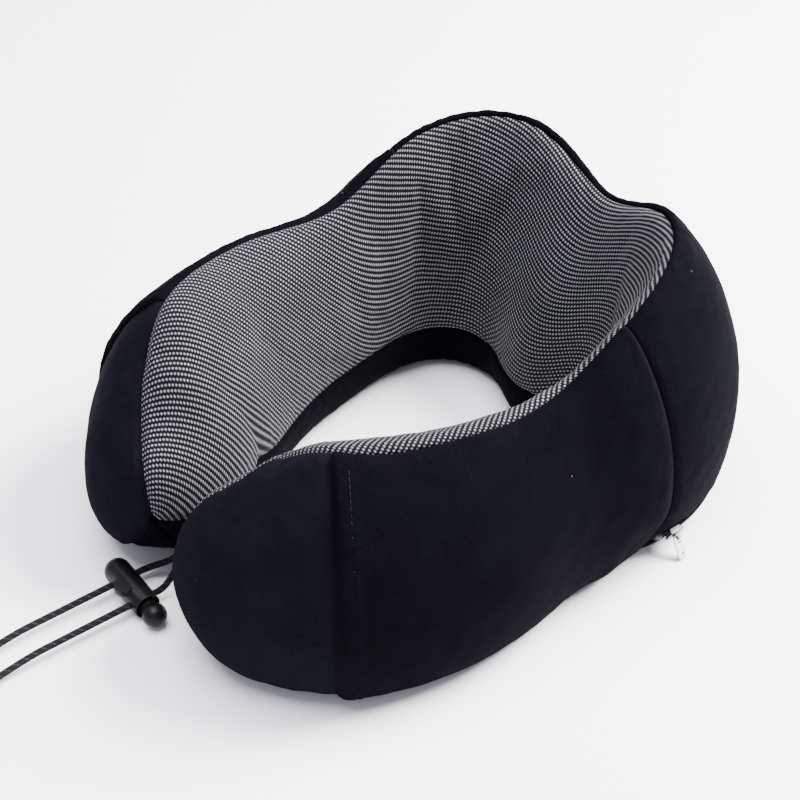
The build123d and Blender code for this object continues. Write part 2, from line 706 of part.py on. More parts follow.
for name, shape in parts.items():
    export_step(Pos(0, -ORIGIN_Y, 0) * shape, f"parts/{name}.step")
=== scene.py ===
import math

import bpy
import numpy as np
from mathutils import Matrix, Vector


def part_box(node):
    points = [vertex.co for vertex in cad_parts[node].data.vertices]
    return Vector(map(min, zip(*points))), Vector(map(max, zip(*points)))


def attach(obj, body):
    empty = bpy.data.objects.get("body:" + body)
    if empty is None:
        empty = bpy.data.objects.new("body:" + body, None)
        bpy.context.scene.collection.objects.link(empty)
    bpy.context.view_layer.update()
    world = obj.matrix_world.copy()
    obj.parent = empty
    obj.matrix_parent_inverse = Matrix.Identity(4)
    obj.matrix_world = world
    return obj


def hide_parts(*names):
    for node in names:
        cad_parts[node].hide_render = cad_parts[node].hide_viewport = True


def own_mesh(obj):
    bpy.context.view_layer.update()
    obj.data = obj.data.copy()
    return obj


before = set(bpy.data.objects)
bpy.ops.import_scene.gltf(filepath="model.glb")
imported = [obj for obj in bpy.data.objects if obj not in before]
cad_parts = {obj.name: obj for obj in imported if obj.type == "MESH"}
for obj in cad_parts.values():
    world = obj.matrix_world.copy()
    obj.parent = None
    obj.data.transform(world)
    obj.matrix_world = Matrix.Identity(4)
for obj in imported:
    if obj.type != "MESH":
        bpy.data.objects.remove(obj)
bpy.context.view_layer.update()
MM = 0.001

# ---------------------------------------- the pillow's driving sizes, in mm and degrees
# They are the CAD's, but for the soft tips, which sag and bulge only here.
ORIGIN_Y = 100.0
CENTRE_HALF_WIDTH, CENTRE_BACK, CENTRE_FRONT = 85.0, 106.0, 117.0
BACK_SQUARENESS, FRONT_SQUARENESS = 2.7, 2.0
TIP_ANGLE, TIP_LENGTH, TIP_HEIGHT = 148.0, 42.0, 0.45
TIP_END = TIP_ANGLE + 87.0
TIP_DROP = 0.19                  # the tips sag by this share of their height
TIP_DROP_ANGLES = (136.0, 190.0)
TIP_DROP_HEIGHT = 100.0
TIP_BULGE = 6.0                  # and push forward by this, low down
TIP_BULGE_HEIGHT = 85.0
SECTIONS = np.array((
    # angle, half width, outward shift, ridge height, seam offset, seam tilt
    (0.0, 35.0, -5.0, 124.0, 13.0, 34.0),
    (30.0, 38.0, 11.0, 143.0, 13.0, 34.0),
    (55.0, 30.0, 11.0, 136.0, 7.0, 34.0),
    (80.0, 28.0, 0.0, 109.5, 0.0, 34.0),
    (110.0, 39.0, 0.0, 113.5, 2.0, 44.0),
    (135.0, 44.0, 0.0, 113.5, 5.5, 34.0),
    (160.0, 35.5, 0.0, 90.0, 6.0, 34.0),
))
HALF_WIDTH, SHIFT, RIDGE, SEAM_OFFSET, SEAM_TILT = range(1, 6)
BELLY_HEIGHT = (54.0, 28.0)      # widest point of the outer wall, at the back and at the tip
SEAM_ROUNDNESS = (7.5, 24.0)     # how far the ridge stays level each side of its seam
INNER_WALL_HEIGHT = (30.0, 42.0)
INNER_WALL_ANGLES = (110.0, 160.0)
INNER_WALL_LEAN = 88.0
NECK_FACE_FULLNESS = 35.0
NECK_WALL_FULLNESS = 0.5         # pulls the curves towards their corners, as shares of height
UPPER_FULLNESS = 0.5
LOWER_FULLNESS = 0.55
RIDGE_SEAM_DROP = 4.0
FLAT_INSET_NECK, FLAT_INSET_OUTER = 14.0, 18.0
OUTER_EDGE_FULLNESS, NECK_EDGE_FULLNESS = 10.0, 8.0
BACK_SEAM, POCKET_REAR, POCKET_HEM = 62.0, 62.6, 134.0     # angles
ZIP_X, ZIP_Y, ZIP_RADIUS, ZIP_HEIGHT = 41.0, 72.0, 67.0, 12.0
ZIP_OPENING = 9.0
ZIP_START, ZIP_END = 11.0, 61.0
ZIP_BLEND = (2.0, 74.0)          # outside these angles the wall keeps its own line
ZIP_FADE_HEIGHTS = (12.0, 42.0)
CHAIN_ANGLES = (12.6, 59.3)
OPEN_STOP_ANGLES, CLOSED_STOP_ANGLES = (11.2, 12.4), (59.5, 60.7)
LOCK_Y, LOCK_Z, CORD_LEFT_X, CORD_RIGHT_X = -142.5, 6.3, -20.4, -5.0
CORD_R = 1.5
CORD_LOOP_Y = -232.0
EDGES = 5                        # a section's edges: two outer, underside, neck wall, knit face


# ---------------------------------------------------------------- the skin, as in the CAD
def mix(ends, t):
    return ends[0] + (ends[1] - ends[0]) * t


def fade(v, start, end):
    t = np.clip((v - start) / (end - start), 0.0, 1.0)
    return t * t * (3.0 - 2.0 * t)


def section_value(column, angle):
    """A column of SECTIONS at any angle, on a smooth curve through its values."""
    x, y = SECTIONS[:, 0], SECTIONS[:, column]
    slope = np.zeros(len(x))
    slope[1:-1] = (y[2:] - y[:-2]) / (x[2:] - x[:-2])
    slope[-1] = (y[-1] - y[-2]) / (x[-1] - x[-2])
    i = np.clip(np.searchsorted(x, angle, side="right") - 1, 0, len(x) - 2)
    width = x[i + 1] - x[i]
    t = (angle - x[i]) / width
    rise = (2 * t**3 - 3 * t**2 + 1) * y[i] + (3 * t**2 - 2 * t**3) * y[i + 1]
    return rise + width * ((t**3 - 2 * t**2 + t) * slope[i] + (t**3 - t**2) * slope[i + 1])


def centre_point(angle):
    """The line along the arms' middle: squarer behind, an ellipse in front."""
    s, c = np.sin(np.radians(angle)), np.cos(np.radians(angle))
    power = np.where(c > 0, BACK_SQUARENESS, FRONT_SQUARENESS)
    reach = np.where(c > 0, CENTRE_BACK, CENTRE_FRONT)
    size = (np.abs(s) ** power + np.abs(c) ** power) ** (-1.0 / power)
    return CENTRE_HALF_WIDTH * s * size, reach * c * size


ANGLE_STEP, S_STEP, W_STEP = 0.01, 0.05, 0.002     # for slopes by difference


def station(s):
    """A place on the centre line, the line's direction there and how far the section has shrunk."""
    angle = np.minimum(s, TIP_ANGLE)
    x, y = centre_point(angle)
    x0, y0 = centre_point(angle - ANGLE_STEP)
    x1, y1 = centre_point(angle + ANGLE_STEP)
    length = np.hypot(x1 - x0, y1 - y0)
    tx, ty = (x1 - x0) / length, (y1 - y0) / length
    turn = np.radians(s - angle)
    reach = TIP_LENGTH * np.sin(turn)
    return x + tx * reach, y + ty * reach, tx, ty, np.cos(turn)


def outline(angle):
    """The edges of a section as cubic curves in (outward, up), and its ridge height."""
    half, shift = section_value(HALF_WIDTH, angle), section_value(SHIFT, angle)
    ridge = section_value(RIDGE, angle)
    tilt = np.radians(section_value(SEAM_TILT, angle))
    share = angle / SECTIONS[-1, 0]
    belly, round_ = mix(BELLY_HEIGHT, share), mix(SEAM_ROUNDNESS, share)
    low = mix(INNER_WALL_HEIGHT, fade(angle, *INNER_WALL_ANGLES))
    lean = math.radians(INNER_WALL_LEAN)
    outer, inner = half + shift, half - shift
    zero = np.zeros_like(half)
    seam = (section_value(SEAM_OFFSET, angle), ridge - RIDGE_SEAM_DROP * np.sin(tilt))
    widest, knit = (outer, belly), (-inner, low)
    toe, heel = (outer - FLAT_INSET_OUTER, zero), (FLAT_INSET_NECK - inner, zero)
    du, dz = -np.cos(tilt) * round_, np.sin(tilt) * round_
    ku, kz = -math.cos(lean), -math.sin(lean)
    third = (toe[0] - heel[0]) / 3.0
    below = NECK_WALL_FULLNESS * low
    face = NECK_FACE_FULLNESS

    def off(p, a, b):
        return p[0] + a, p[1] + b

    return (
        (seam, off(seam, -du, -dz), off(widest, 0, UPPER_FULLNESS * (ridge - belly)), widest),
        (widest, off(widest, 0, -LOWER_FULLNESS * belly), off(toe, OUTER_EDGE_FULLNESS, 0), toe),
        (toe, off(toe, -third, 0), off(heel, third, 0), heel),
        (heel, off(heel, -NECK_EDGE_FULLNESS, 0), off(knit, ku * below, kz * below), knit),
        (knit, off(knit, -ku * face, -kz * face), off(seam, du, dz), seam),
    ), ridge


def on_edge(edge, t):
    k = ((1 - t) ** 3, 3 * (1 - t) ** 2 * t, 3 * (1 - t) * t**2, t**3)
    u = sum(k[i] * edge[i][0][..., None] for i in range(4))
    z = sum(k[i] * edge[i][1][..., None] for i in range(4))
    return u, z


HALVINGS = 26


def share_at_height(angle, height):
    """How far down the lower outer wall, as a share of that edge, this height lies."""
    edge = outline(angle)[0][1]
    low, high = np.zeros((len(angle), 1)), np.ones((len(angle), 1))
    target = np.broadcast_to(np.asarray(height, float), (len(angle),))[:, None]
    for _ in range(HALVINGS):
        middle = 0.5 * (low + high)
        above = on_edge(edge, middle)[1] > target
        low, high = np.where(above, middle, low), np.where(above, high, middle)
    return 0.5 * (low + high)[:, 0]


def zip_shift(s):
    """How far the low outer wall moves so that the zip lies on its circle."""
    window = fade(s, ZIP_BLEND[0], ZIP_START) * (1.0 - fade(s, ZIP_END, ZIP_BLEND[1]))
    a = np.minimum(s, TIP_ANGLE)
    x, y, tx, ty, _ = station(a)
    dx, dy = x - ZIP_X, y - ZIP_Y
    along = dx * -ty + dy * tx
    inner = np.maximum(along**2 - dx**2 - dy**2 + ZIP_RADIUS**2, 0.0)
    wall = on_edge(outline(a)[0][1], share_at_height(a, ZIP_HEIGHT)[:, None])[0][:, 0]
    return np.where(window > 0, window * (-along + np.sqrt(inner) - wall), 0.0)


def skin(s, w):
    """Points of the outside in metres: s has n values, w is n by m."""
    side = np.where(s < 0, -1.0, 1.0)[:, None]
    s = np.abs(s)
    x, y, tx, ty, shrink = (v[:, None] for v in station(s))
    edges, ridge = outline(np.minimum(s, TIP_ANGLE))
    w = w % EDGES
    number, share = np.floor(w).astype(int), w - np.floor(w)
    u, z = np.zeros(w.shape), np.zeros(w.shape)
    for k in range(EDGES):
        uk, zk = on_edge(edges[k], share)
        u, z = np.where(number == k, uk, u), np.where(number == k, zk, z)
    shift = zip_shift(s)[:, None]
    u = u + np.where(number == 1, shift * (1.0 - fade(z, *ZIP_FADE_HEIGHTS)), 0.0)
    u = u + np.where(number == 2, shift * (1.0 - share), 0.0)
    middle = TIP_HEIGHT * ridge[:, None]
    u, z = u * shrink, middle + (z - middle) * shrink
    sag = np.clip(z / TIP_DROP_HEIGHT, 0.0, 1.0) ** 2
    z = z * (1.0 - TIP_DROP * fade(s[:, None], *TIP_DROP_ANGLES) * sag)
    low_down = 1.0 - np.clip(z / TIP_BULGE_HEIGHT, 0.0, 1.0) ** 2
    bulge = TIP_BULGE * fade(s[:, None], TIP_ANGLE, TIP_END) * low_down
    x, y = x + tx * bulge, y + ty * bulge
    return np.stack([side * (x - ty * u), y + tx * u - ORIGIN_Y, z], -1) * MM


def normals(s, w):
    """Directions straight out of the skin."""
    ds = skin(s + S_STEP, w) - skin(s - S_STEP, w)
    dw = skin(s, w + W_STEP) - skin(s, w - W_STEP)
    n = np.cross(ds, dw)
    return n / np.maximum(np.linalg.norm(n, axis=-1, keepdims=True), 1e-12)


# ---------------------------------------------------------------- smooth noise
def waves(points, size, seed, count=18):
    """Smooth noise of about unit height over points in metres; size is its grain in mm."""
    r = np.random.default_rng(seed)
    k = r.normal(size=(count, 3))
    k *= (2 * math.pi / (size * MM)) * r.uniform(0.7, 1.4, (count, 1)) / np.linalg.norm(k, axis=1)[:, None]
    phase = r.uniform(0, 2 * math.pi, count)
    total = sum(np.sin(points @ k[i] + phase[i]) for i in range(count))
    return total / math.sqrt(count / 2)


# ---------------------------------------------------------------- materials
class Nodes:
    """A node material under construction, round one Principled shader."""

    def __init__(self, name):
        self.material = bpy.data.materials.new(name)
        self.material.use_nodes = True
        self.tree = self.material.node_tree
        self.out = self.tree.nodes["Principled BSDF"]

    def feed(self, node, key, value):
        socket = node.inputs[key]
        if isinstance(value, bpy.types.NodeSocket):
            self.tree.links.new(value, socket)
        else:
            socket.default_value = value

    def math(self, operation, a, b=0.0, c=0.0):
        node = self.tree.nodes.new("ShaderNodeMath")
        node.operation = operation
        for i, v in enumerate((a, b, c)):
            if isinstance(v, bpy.types.NodeSocket):
                self.tree.links.new(v, node.inputs[i])
            else:
                node.inputs[i].default_value = v
        return node.outputs[0]

    def noise(self, where, scale, detail=2.0, roughness=0.5):
        node = self.tree.nodes.new("ShaderNodeTexNoise")
        self.tree.links.new(where, node.inputs["Vector"])
        node.inputs["Scale"].default_value = scale
        node.inputs["Detail"].default_value = detail
        node.inputs["Roughness"].default_value = roughness
        return node.outputs["Fac"]

    def ramp(self, value, stops):
        node = self.tree.nodes.new("ShaderNodeValToRGB")
        self.tree.links.new(value, node.inputs[0])
        band = node.color_ramp
        while len(band.elements) < len(stops):
            band.elements.new(0.5)
        for e, (place, colour) in zip(band.elements, stops):
            e.position = place
            e.color = (*colour, 1.0)
        return node.outputs[0]

    def mix(self, share, a, b, blend="MIX"):
        node = self.tree.nodes.new("ShaderNodeMix")
        node.data_type = "RGBA"
        node.blend_type = blend
        for i, v in ((0, share), (6, a), (7, b)):
            if isinstance(v, bpy.types.NodeSocket):
                self.tree.links.new(v, node.inputs[i])
            else:
                node.inputs[i].default_value = v if i == 0 else (*v, 1.0)
        return node.outputs[2]

    def bump(self, height, distance, strength=1.0, under=None):
        node = self.tree.nodes.new("ShaderNodeBump")
        node.inputs["Distance"].default_value = distance
        node.inputs["Strength"].default_value = strength
        self.tree.links.new(height, node.inputs["Height"])
        if under is not None:
            self.tree.links.new(under, node.inputs["Normal"])
        return node.outputs[0]

    def position(self):
        return self.tree.nodes.new("ShaderNodeTexCoord").outputs["Object"]

    def cloth(self):
        """The fabric's own two coordinates, in mm."""
        node = self.tree.nodes.new("ShaderNodeUVMap")
        node.uv_map = "cloth"
        split = self.tree.nodes.new("ShaderNodeSeparateXYZ")
        self.tree.links.new(node.outputs[0], split.inputs[0])
        return split.outputs[0], split.outputs[1]

    def set(self, **inputs):
        for key, value in inputs.items():
            self.feed(self.out, key.replace("_", " "), value)
        return self.material


VELOUR_TONES = ((0.0012, 0.0011, 0.0019), (0.0024, 0.0022, 0.0036), (0.0052, 0.0049, 0.0078))
LINT_SCALE, LINT_SIZE, LINT_TONE = 95.0, 0.035, (0.12, 0.12, 0.14)


def velour(name, gain):
    """Short black pile whose nap varies in patches, with a few specks of lint."""
    m = Nodes(name)
    at = m.position()
    nap = m.noise(at, 55.0, 4.0, 0.6)
    pile = m.noise(at, 1500.0, 3.0, 0.7)
    grain = m.noise(at, 420.0, 2.0, 0.6)
    dark, light, tips = (np.array(c) * gain for c in VELOUR_TONES)
    colour = m.ramp(nap, ((0.3, tuple(dark)), (0.7, tuple(light))))
    colour = m.mix(m.ramp(pile, ((0.35, (0, 0, 0)), (0.75, (0.5, 0.5, 0.5)))), colour, tuple(tips))
    dots = m.tree.nodes.new("ShaderNodeTexVoronoi")
    m.tree.links.new(at, dots.inputs["Vector"])
    dots.inputs["Scale"].default_value = LINT_SCALE
    dots.inputs["Randomness"].default_value = 1.0
    speck = m.math("LESS_THAN", dots.outputs["Distance"], LINT_SIZE)
    few = m.math("GREATER_THAN", m.noise(at, 31.0, 1.0), 0.56)
    colour = m.mix(m.math("MULTIPLY", m.math("MULTIPLY", speck, few), 0.55), colour, LINT_TONE)
    relief = m.bump(nap, 0.0011, 0.35)
    relief = m.bump(grain, 0.0004, 0.5, relief)
    relief = m.bump(pile, 0.00025, 0.8, relief)
    return m.set(
        Base_Color=colour, Roughness=0.92, Normal=relief, Sheen_Weight=0.004, Sheen_Roughness=0.5,
        Sheen_Tint=(0.42, 0.44, 0.60, 1.0), Specular_IOR_Level=0.01,
    )


DOT_PITCH, ROW_PITCH = 1.6, 2.2      # dots along a row, and from row to row, in mm


def knit():
    """Staggered light dots on black, on a fine knitted ground."""
    m = Nodes("dotted_knit")
    p, q = m.cloth()
    at = m.position()
    wobble = m.math("MULTIPLY", m.math("SUBTRACT", m.noise(at, 260.0, 2.0), 0.5), 0.55)
    along = m.math("ADD", m.math("MULTIPLY", p, 2 * math.pi / DOT_PITCH), wobble)
    across = m.math("ADD", m.math("MULTIPLY", q, math.pi / ROW_PITCH), m.math("MULTIPLY", wobble, 0.5))
    dots = m.math("MULTIPLY", m.math("COSINE", along), m.math("COSINE", across))
    rows = m.math("COSINE", m.math("MULTIPLY", across, 2.0))
    both = m.math("ADD", m.math("MULTIPLY", dots, 0.24), m.math("ADD", m.math("MULTIPLY", rows, 0.26), 0.5))
    stitch = m.noise(at, 1700.0, 2.0)
    level = m.math("ADD", both, m.math("MULTIPLY", m.math("SUBTRACT", stitch, 0.5), 0.22))
    colour = m.ramp(level, (
        (0.34, (0.0015, 0.0015, 0.003)), (0.54, (0.012, 0.012, 0.015)),
        (0.70, (0.085, 0.084, 0.092)), (0.92, (0.18, 0.178, 0.192)),
    ))
    shade = m.ramp(m.noise(at, 38.0, 2.0), ((0.3, (0.80, 0.80, 0.80)), (0.7, (1, 1, 1))))
    colour = m.mix(1.0, colour, shade, "MULTIPLY")
    relief = m.bump(stitch, 0.0002, 0.5, m.bump(both, 0.0004, 0.7))
    return m.set(
        Base_Color=colour, Roughness=0.85, Normal=relief, Specular_IOR_Level=0.06, Sheen_Weight=0.02,
    )


WARP_PITCH, WEFT_PITCH = 0.55, 0.42


def woven(name, colour, thread, scale=1.0, shine=0.2):
    m = Nodes(name)
    p, q = m.cloth()
    warp = m.math("SINE", m.math("MULTIPLY", p, 2 * math.pi / (WARP_PITCH * scale)))
    weft = m.math("SINE", m.math("MULTIPLY", q, 2 * math.pi / (WEFT_PITCH * scale)))
    weave = m.math("MULTIPLY", warp, weft)
    fine = m.noise(m.position(), 900.0, 3.0)
    tone = m.ramp(m.math("ADD", m.math("MULTIPLY", weave, 0.25), fine), ((0.3, colour), (0.8, thread)))
    return m.set(Base_Color=tone, Roughness=0.8, Normal=m.bump(weave, 0.00012, 0.7), Specular_IOR_Level=shine)


def plastic(name, colour, rough, grain=1300.0, depth=0.00006, shine=0.4):
    m = Nodes(name)
    at = m.position()
    fine = m.noise(at, grain, 2.0, 0.6)
    wide = m.noise(at, 120.0, 2.0)
    tone = m.mix(wide, colour, tuple(c * 1.7 + 0.0008 for c in colour))
    roughness = m.math("ADD", m.math("MULTIPLY", wide, 0.14), rough - 0.07)
    relief = m.bump(fine, depth, 0.6)
    return m.set(Base_Color=tone, Roughness=roughness, Normal=relief, Specular_IOR_Level=shine)


def metal(name, colour, rough):
    m = Nodes(name)
    at = m.position()
    wide = m.noise(at, 260.0, 3.0)
    fine = m.noise(at, 2600.0, 3.0)
    roughness = m.math("ADD", m.math("MULTIPLY", wide, 0.16), rough)
    return m.set(
        Base_Color=m.mix(wide, colour, tuple(c * 0.86 for c in colour)), Metallic=1.0,
        Roughness=roughness, Normal=m.bump(fine, 0.00002, 0.4),
    )


def foam():
    m = Nodes("moulded_foam")
    at = m.position()
    cells = m.tree.nodes.new("ShaderNodeTexVoronoi")
    m.tree.links.new(at, cells.inputs["Vector"])
    cells.inputs["Scale"].default_value = 900.0
    tone = m.ramp(m.noise(at, 40.0, 3.0), ((0.3, (0.80, 0.76, 0.62)), (0.7, (0.88, 0.85, 0.74))))
    return m.set(Base_Color=tone, Roughness=0.95, Normal=m.bump(cells.outputs["Distance"], 0.0004, 0.7))


# The second velour is a lighter copy of the same velour. This is painted light: it stands in for the light
# that the tips and sides catch.
VELOUR, PAINTED_LIGHT_VELOUR = velour("velour", 0.72), velour("velour_painted_lighter", 1.5)
KNIT, FOAM = knit(), foam()
TAPE = woven("zip_tape_weave", (0.0020, 0.0020, 0.0030), (0.0075, 0.0075, 0.0100), shine=0.05)
COIL = plastic("nylon_coil", (0.0025, 0.0025, 0.0032), 0.55, shine=0.12)
LOCK = plastic("fine_grain_plastic", (0.0012, 0.0012, 0.0016), 0.42, 1500.0, 0.00010, 0.16)
NICKEL = metal("bright_nickel", (0.80, 0.79, 0.77), 0.14)
DARK_METAL = metal("dark_zip_metal", (0.045, 0.045, 0.050), 0.30)
STEEL = metal("spring_wire", (0.55, 0.55, 0.57), 0.28)
CORD_DARK = woven("cord_yarn", (0.0025, 0.0025, 0.0035), (0.009, 0.009, 0.011), 0.5)
CORD_LIGHT = woven("cord_fleck_yarn", (0.020, 0.020, 0.023), (0.075, 0.075, 0.082), 0.5)
THREAD = woven("sewing_thread", (0.0022, 0.0022, 0.0036), (0.007, 0.007, 0.010), 0.5)


# ---------------------------------------------------------------- mesh helpers
def make_mesh(name, points, faces, material, cloth=None):
    """A smooth mesh; cloth holds each vertex's place on the flat fabric, in mm."""
    mesh = bpy.data.meshes.new(name)
    mesh.from_pydata(np.asarray(points, float).tolist(), [], np.asarray(faces).tolist())
    if cloth is not None:
        layer = mesh.uv_layers.new(name="cloth")
        index = np.zeros(len(mesh.loops), np.int64)
        mesh.loops.foreach_get("vertex_index", index)
        layer.data.foreach_set("uv", np.asarray(cloth, np.float32)[index].ravel())
    mesh.materials.append(material)
    mesh.polygons.foreach_set("use_smooth", [True] * len(mesh.polygons))
    mesh.update()
    obj = bpy.data.objects.new(name, mesh)
    bpy.context.scene.collection.objects.link(obj)
    return obj


def quads(rows, columns, start=0, closed=False):
    """Faces of a grid of points; closed joins its last column to its first."""
    last = columns if closed else columns - 1
    i, j = np.meshgrid(np.arange(rows - 1), np.arange(last), indexing="ij")
    k = (j + 1) % columns
    a, b = start + i * columns + j, start + (i + 1) * columns + j
    c, d = start + (i + 1) * columns + k, start + i * columns + k
    return np.stack([a, b, c, d], -1).reshape(-1, 4)


def path_length(points):
    """Length along a line of points, from 0 at its first."""
    return np.concatenate([[0], np.cumsum(np.linalg.norm(np.diff(points, axis=0), axis=1))])


def end_caps(rows, columns):
    """The two faces that close a tube of rows rings."""
    return [list(range(columns)), [(rows - 1) * columns + i for i in reversed(range(columns))]]


def even_stops(start, end, step):
    """Values of s from start to end, at most step mm apart along the ridge and the belly."""
    fine = np.linspace(start, end, 1200)
    near_ridge = skin(fine, np.full((len(fine), 1), 0.2))[:, 0] / MM
    belly = skin(fine, np.full((len(fine), 1), 1.0))[:, 0] / MM
    steps = np.maximum(*(np.linalg.norm(np.diff(line, axis=0), axis=1) for line in (near_ridge, belly)))
    length = np.concatenate([[0], np.cumsum(steps)])
    count = max(4, int(length[-1] / step))
    return np.interp(np.linspace(0, length[-1], count), length, fine)


def even_places(s, low, high, count):
    """Places round the section between low and high, evenly spaced by length."""
    t = np.linspace(0, 1, 80)
    fine = low[:, None] + (high - low)[:, None] * t
    p = skin(s, fine)
    steps = np.linalg.norm(np.diff(p, axis=1), axis=-1)
    length = np.concatenate([np.zeros((len(s), 1)), np.cumsum(steps, 1)], 1)
    target = length[:, -1:] * np.linspace(0, 1, count)
    return np.stack([np.interp(target[i], length[i], fine[i]) for i in range(len(s))]), length[:, -1] / MM


# ---------------------------------------------------------------- soft shape, from a cloth simulation
RING = np.concatenate([
    np.linspace(0, 2, 22)[:-1], np.linspace(2, 3, 9)[:-1],
    np.linspace(3, 4, 9)[:-1], np.linspace(4, 5, 22)[:-1],
])
SIM_S = np.concatenate([
    np.linspace(-TIP_END, -TIP_ANGLE, 14)[:-1],
    np.linspace(-TIP_ANGLE, TIP_ANGLE, 131),
    np.linspace(TIP_ANGLE, TIP_END, 14)[1:],
])
SIM_FRAMES = 20
SEAM_HALF_WIDTH = 1.4            # degrees each side of the rear seams that stay pinned
FULLNESS_CAP = 3.5 * MM


def simulate():
    """Blows the cover out between its pinned seams and returns each ring point's movement."""
    w = np.repeat(RING[None], len(SIM_S), 0)
    rest = skin(SIM_S, w)
    n, m = rest.shape[:2]
    points = rest.reshape(-1, 3)
    faces = quads(n, m, closed=True).tolist()
    faces += end_caps(n, m)
    mesh = bpy.data.meshes.new("soft_rest")
    mesh.from_pydata(points.tolist(), [], faces)
    mesh.update()
    obj = bpy.data.objects.new("soft_rest", mesh)
    bpy.context.scene.collection.objects.link(obj)
    seam = np.zeros((n, m))
    seam[:, (RING == 0) | (RING == 4)] = 1.0
    seam[:, (RING >= 2) & (RING <= 3)] = 1.0
    near = (np.abs(np.abs(SIM_S) - BACK_SEAM) < SEAM_HALF_WIDTH)[:, None] & (RING <= 2)[None]
    seam[near] = 1.0
    seam[:2] = 1.0
    seam[-2:] = 1.0
    group = obj.vertex_groups.new(name="seams")
    group.add(np.nonzero(seam.ravel() > 0)[0].tolist(), 1.0, "REPLACE")
    cloth = obj.modifiers.new("cloth", "CLOTH")
    fabric = cloth.settings
    fabric.quality = 6
    fabric.mass = 0.25
    fabric.tension_stiffness = 12.0
    fabric.compression_stiffness = 12.0
    fabric.shear_stiffness = 4.0
    fabric.bending_stiffness = 0.12
    fabric.vertex_group_mass = "seams"
    fabric.use_pressure = True
    fabric.uniform_pressure_force = 4.0
    fabric.effector_weights.gravity = 0.0
    cloth.collision_settings.use_collision = False
    scene = bpy.context.scene
    cloth.point_cache.frame_start, cloth.point_cache.frame_end = 1, SIM_FRAMES
    for f in range(1, SIM_FRAMES + 1):
        scene.frame_set(f)
    dg = bpy.context.evaluated_depsgraph_get()
    shaped = obj.evaluated_get(dg).to_mesh()
    out = np.zeros(len(shaped.vertices) * 3)
    shaped.vertices.foreach_get("co", out)
    obj.evaluated_get(dg).to_mesh_clear()
    scene.frame_set(1)
    bpy.data.objects.remove(obj)
    move = out.reshape(n, m, 3) - rest
    size = np.linalg.norm(move, axis=-1, keepdims=True)
    return move * (np.minimum(size, FULLNESS_CAP) / np.maximum(size, 1e-9))


SOFT = simulate()


def soft_move(s, w):
    """The simulated movement at any place of the skin, or none while the simulation is skipped."""
    if SOFT is None:
        return np.zeros(w.shape + (3,))
    ring = np.concatenate([RING, [EDGES]])
    field = np.concatenate([SOFT, SOFT[:, :1]], 1)
    a = np.interp(s, SIM_S, np.arange(len(SIM_S)))
    i = np.clip(a.astype(int), 0, len(SIM_S) - 2)
    fa = (a - i)[:, None, None]
    b = np.interp(w % EDGES, ring, np.arange(len(ring)))
    j = np.clip(b.astype(int), 0, len(ring) - 2)
    fb = (b - j)[..., None]
    r = i[:, None]
    low = field[r, j] * (1 - fb) + field[r, j + 1] * fb
    high = field[r + 1, j] * (1 - fb) + field[r + 1, j + 1] * fb
    return low * (1 - fa) + high * fa


# ---------------------------------------------------------------- the knit's own flat pattern
KNIT_TURN = 1.4         # the cloth is eased round the corners by this, so its rows cross the arms
KNIT_LEAST_WIDTH = 30.0


def knit_pattern():
    """For each s: the ridge's place on the flat cloth and the direction across the cloth there."""
    s = np.linspace(-TIP_END, TIP_END, 1401)
    outer = skin(s, np.full((len(s), 1), 4.999))[:, 0] / MM
    inner = skin(s, np.full((len(s), 1), 4.001))[:, 0] / MM
    across = even_places(s, np.full(len(s), 4.0), np.full(len(s), 5.0), 12)[1]
    d_out = np.linalg.norm(np.diff(outer, axis=0), axis=1)
    d_in = np.linalg.norm(np.diff(inner, axis=0), axis=1)
    span = 0.5 * (across[1:] + across[:-1])
    turns = KNIT_TURN * (d_out - d_in) / np.maximum(span, KNIT_LEAST_WIDTH)
    bend = np.concatenate([[0], np.cumsum(turns)])
    bend -= bend[len(s) // 2]
    mid = 0.5 * (bend[1:] + bend[:-1])
    steps = np.stack([np.cos(mid), -np.sin(mid)], 1) * d_out[:, None]
    place = np.concatenate([[[0, 0]], np.cumsum(steps, 0)])
    place -= place[len(s) // 2]
    return s, place, np.stack([-np.sin(bend), -np.cos(bend)], 1)


PATTERN_S, PATTERN_PLACE, PATTERN_ACROSS = knit_pattern()


# ---------------------------------------------------------------- sewn panels
SEAM_DEPTH = 1.25 * MM
SEAM_WIDTH = 2.1
END_SEAM_SHARE, END_SEAM_RUN = 0.25, (4.0, 30.0)     # a seam across the section is flat by the floor
PUCKER_REACH, PUCKER_GRAIN = 7.0, 7.0
SWELL_HEIGHT, SWELL_GRAIN = 0.14, 38.0
RIPPLE_HEIGHT, RIPPLE_GRAIN = 0.07, 13.0
CALM_EDGE = 5.0                  # the waves die out this near to a seam
FOLD = 3.0 * MM


